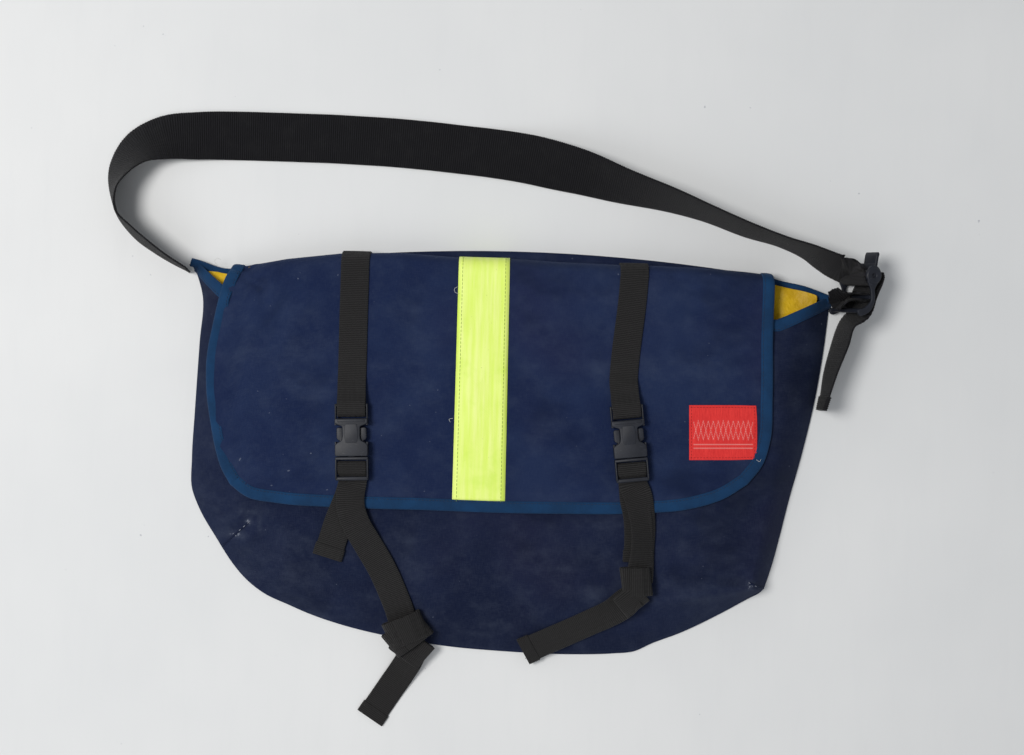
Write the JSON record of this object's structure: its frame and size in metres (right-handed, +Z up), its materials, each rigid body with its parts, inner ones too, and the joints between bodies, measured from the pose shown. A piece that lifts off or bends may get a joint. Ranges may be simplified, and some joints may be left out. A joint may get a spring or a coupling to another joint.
{
  "type": "messenger bag",
  "caption": "Canvas messenger bag lying flat, with a bound hinged flap, reflective strip, side-release buckles, webbing tails and a shoulder strap with a cam buckle.",
  "frame": {"origin": "on the resting face, under the middle of the back panel", "axes": "+X along the bag's width, to the right as seen from the front; +Y towards the mouth; +Z up, out of the bag's front"},
  "size_m": [0.6873, 0.5488, 0.0538],
  "materials": {
    "canvas": "worn navy cotton canvas",
    "binding": "blue woven binding tape with stitching",
    "lining": "coated yellow liner",
    "reflective": "fluorescent yellow-green reflective tape",
    "label": "plain red woven patch",
    "webbing": "black woven polypropylene webbing",
    "shoulder_webbing": "black smooth nylon webbing",
    "plastic": "moulded black acetal"
  },
  "bodies": {
    "bag": {"back_panel": "canvas", "front_panel": "canvas", "gusset_left": "canvas", "gusset_right": "canvas", "gusset_bottom": "canvas", "fold_wall": "canvas", "ear_binding_left": "binding", "ear_binding_right": "binding", "mouth_binding": "binding", "lining_back": "lining", "lining_front": "lining", "strap_root_left": "webbing", "strap_root_right": "webbing", "anchor_strap_left": "webbing", "anchor_strap_right": "webbing", "strap_buckle_end": "shoulder_webbing", "shoulder_strap_tail": "shoulder_webbing", "cam_anchor_webbing": "shoulder_webbing", "cam_buckle_frame": "plastic", "cam_pin": "plastic"},
    "flap": {"flap_panel": "canvas", "flap_lining": "lining", "flap_binding": "binding", "reflective_strip": "reflective", "label_patch": "label", "flap_strap_left": "webbing", "flap_strap_right": "webbing", "buckle_socket_left": "plastic", "buckle_socket_right": "plastic"},
    "plug_left": {"buckle_plug_left": "plastic", "strap_tail_left": "webbing"},
    "plug_right": {"buckle_plug_right": "plastic", "strap_tail_right": "webbing"},
    "prong_left_a": {"buckle_prong_left_a": "plastic"},
    "prong_left_b": {"buckle_prong_left_b": "plastic"},
    "prong_right_a": {"buckle_prong_right_a": "plastic"},
    "prong_right_b": {"buckle_prong_right_b": "plastic"},
    "shoulder_strap": {"shoulder_strap": "shoulder_webbing"},
    "cam_lever": {"cam_lever": "plastic"}
  },
  "joints": [
    {"name": "flap_hinge", "type": "hinge", "parent": "bag", "child": "flap", "pos_m": [0, 0.17, 0.0275], "axis": [-1, 0, 0], "range_deg": [0, 120]},
    {"name": "plug_slide_left", "type": "slide", "parent": "bag", "child": "plug_left", "axis": [0.0349, -0.9994, 0], "range_m": [0, 0.025], "deforming": ["anchor_strap_left"]},
    {"name": "plug_slide_right", "type": "slide", "parent": "bag", "child": "plug_right", "axis": [0.1132, -0.9936, 0], "range_m": [0, 0.025], "deforming": ["anchor_strap_right"]},
    {"name": "prong_squeeze_left_a", "type": "hinge", "parent": "plug_left", "child": "prong_left_a", "pos_m": [-0.14589, -0.00251, 0.0388], "axis": [0, 0, -1], "range_deg": [0, 6], "stiffness_Nm_per_rad": 0.05},
    {"name": "prong_squeeze_left_b", "type": "hinge", "parent": "plug_left", "child": "prong_left_b", "pos_m": [-0.1279, -0.00189, 0.0388], "axis": [0, 0, 1], "range_deg": [0, 6], "stiffness_Nm_per_rad": 0.05},
    {"name": "prong_squeeze_right_a", "type": "hinge", "parent": "plug_right", "child": "prong_right_a", "pos_m": [0.09886, 0.00138, 0.0388], "axis": [0, 0, -1], "range_deg": [0, 6], "stiffness_Nm_per_rad": 0.05},
    {"name": "prong_squeeze_right_b", "type": "hinge", "parent": "plug_right", "child": "prong_right_b", "pos_m": [0.11674, 0.00342, 0.0388], "axis": [0, 0, 1], "range_deg": [0, 6], "stiffness_Nm_per_rad": 0.05},
    {"name": "shoulder_strap_swing", "type": "hinge", "parent": "bag", "child": "shoulder_strap", "pos_m": [0, 0.16, 0.01], "axis": [-1, 0, 0], "range_deg": [-60, 0]},
    {"name": "cam_lever_hinge", "type": "hinge", "parent": "bag", "child": "cam_lever", "pos_m": [0.3068, 0.168, 0.0272], "axis": [-0.3006, 0.0601, -0.9519], "range_deg": [0, 40]}
  ],
  "couplings": [
    {"joint": "prong_squeeze_left_b", "follows": "prong_squeeze_left_a", "ratio": 1},
    {"joint": "prong_squeeze_right_b", "follows": "prong_squeeze_right_a", "ratio": 1}
  ]
}
